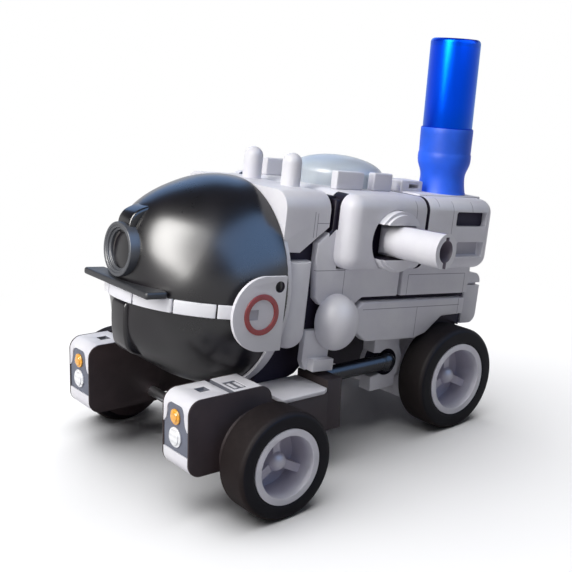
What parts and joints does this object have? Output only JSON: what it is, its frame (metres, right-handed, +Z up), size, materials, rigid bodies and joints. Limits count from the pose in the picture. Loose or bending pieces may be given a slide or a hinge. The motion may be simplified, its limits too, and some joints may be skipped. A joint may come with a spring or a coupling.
{
  "type": "toy rover",
  "caption": "Toy rover shaped like a seated space explorer: glossy round helmet, white backpack, swivelling arm tubes, upright power cell and dished wheels driven by a gear motor.",
  "frame": {"origin": "middle of the footprint on the ground", "axes": "+Z up, -Y is the front of the rover, +X is the rover's left, the side seen in the picture"},
  "size_m": [0.0938, 0.1149, 0.1143],
  "materials": {
    "shell_white": "satin",
    "helmet_black": "high gloss",
    "trim_grey": "satin",
    "lens_dark": "gloss",
    "ring_red": "print",
    "frame_dark": "matte",
    "dome_smoke": "translucent gloss",
    "holder_blue": "satin",
    "cell_blue": "metallic wrap",
    "steel": "satin",
    "brass": "satin",
    "gear_white": "matte",
    "leg_plum": "satin",
    "strut_black": "satin",
    "face_grey": "satin",
    "lamp_amber": "gloss",
    "lamp_white": "gloss",
    "tyre": "matte",
    "hub_lilac": "satin"
  },
  "bodies": {
    "rover_body": {"helmet_dome": "helmet_black", "helmet_bowl": "helmet_black", "helmet_belt": "shell_white", "camera_barrel": "trim_grey", "camera_lens": "lens_dark", "camera_shelf": "trim_grey", "left_ear_plate": "shell_white", "right_ear_plate": "shell_white", "ear_rings": "ring_red", "chin_strap": "shell_white", "body_core": "frame_dark", "collar_shell": "shell_white", "left_column": "shell_white", "right_column": "shell_white", "left_flank": "shell_white", "right_flank": "shell_white", "left_sill": "shell_white", "right_sill": "shell_white", "left_egg": "shell_white", "right_egg": "shell_white", "pack_front": "shell_white", "pack_rear": "shell_white", "pack_windows": "lens_dark", "deck_dome": "dome_smoke", "deck_posts": "shell_white", "deck_pins": "shell_white", "deck_latch": "shell_white", "battery_holder": "holder_blue", "tail_block": "shell_white", "rear_bracket": "shell_white", "drive_motor": "steel"},
    "front_legs": {"left_leg": "leg_plum", "right_leg": "leg_plum", "hip_struts": "strut_black", "knee_plates": "shell_white", "left_boot_hood": "shell_white", "right_boot_hood": "shell_white", "boot_faces": "face_grey", "amber_lamps": "lamp_amber", "white_lamps": "lamp_white"},
    "front_wheels": {"front_axle": "steel", "front_left_tyre": "tyre", "front_left_hub": "hub_lilac", "front_right_tyre": "tyre", "front_right_hub": "hub_lilac"},
    "rear_wheels": {"rear_axle": "steel", "axle_gear": "gear_white", "rear_left_tyre": "tyre", "rear_left_hub": "hub_lilac", "rear_right_tyre": "tyre", "rear_right_hub": "hub_lilac"},
    "idler": {"idler_gear": "gear_white"},
    "pinion": {"motor_pinion": "brass"},
    "left_shoulder": {"left_shoulder_disc": "shell_white"},
    "right_shoulder": {"right_shoulder_disc": "shell_white"},
    "left_arm": {"left_arm_tube": "shell_white"},
    "right_arm": {"right_arm_tube": "shell_white"},
    "cell": {"battery_cell": "cell_blue"}
  },
  "joints": [
    {"name": "hip_tilt", "type": "hinge", "parent": "rover_body", "child": "front_legs", "pos_m": [0, 0.02019, 0.02219], "axis": [1, 0, 0], "range_deg": [-1, 7]},
    {"name": "front_wheels_spin", "type": "hinge", "parent": "front_legs", "child": "front_wheels", "pos_m": [0, -0.03531, 0.014], "axis": [1, 0, 0], "continuous": true},
    {"name": "rear_wheels_spin", "type": "hinge", "parent": "rover_body", "child": "rear_wheels", "pos_m": [0, 0.03948, 0.0154], "axis": [1, 0, 0], "continuous": true},
    {"name": "idler_spin", "type": "hinge", "parent": "rover_body", "child": "idler", "pos_m": [0, 0.03549, 0.02233], "axis": [1, 0, 0], "continuous": true},
    {"name": "pinion_spin", "type": "hinge", "parent": "rover_body", "child": "pinion", "pos_m": [0, 0.02983, 0.02799], "axis": [1, 0, 0], "continuous": true},
    {"name": "left_shoulder_turn", "type": "hinge", "parent": "rover_body", "child": "left_shoulder", "pos_m": [0.0282, 0.01318, 0.06111], "axis": [1, 0, 0], "range_deg": [-90, 90]},
    {"name": "right_shoulder_turn", "type": "hinge", "parent": "rover_body", "child": "right_shoulder", "pos_m": [-0.0282, 0.01318, 0.06111], "axis": [-1, 0, 0], "range_deg": [-90, 90]},
    {"name": "left_arm_swing", "type": "hinge", "parent": "left_shoulder", "child": "left_arm", "pos_m": [0.0282, 0.01318, 0.06111], "axis": [0, 0.1392, 0.9903], "range_deg": [-51, 27]},
    {"name": "right_arm_swing", "type": "hinge", "parent": "right_shoulder", "child": "right_arm", "pos_m": [-0.0282, 0.01318, 0.06111], "axis": [0, -0.1392, -0.9903], "range_deg": [-51, 27]},
    {"name": "cell_pull", "type": "slide", "parent": "rover_body", "child": "cell", "axis": [0, 0.0872, 0.9962], "range_m": [0, 0.03]}
  ],
  "couplings": [
    {"joint": "idler_spin", "follows": "rear_wheels_spin", "ratio": -3},
    {"joint": "pinion_spin", "follows": "rear_wheels_spin", "ratio": 9}
  ]
}
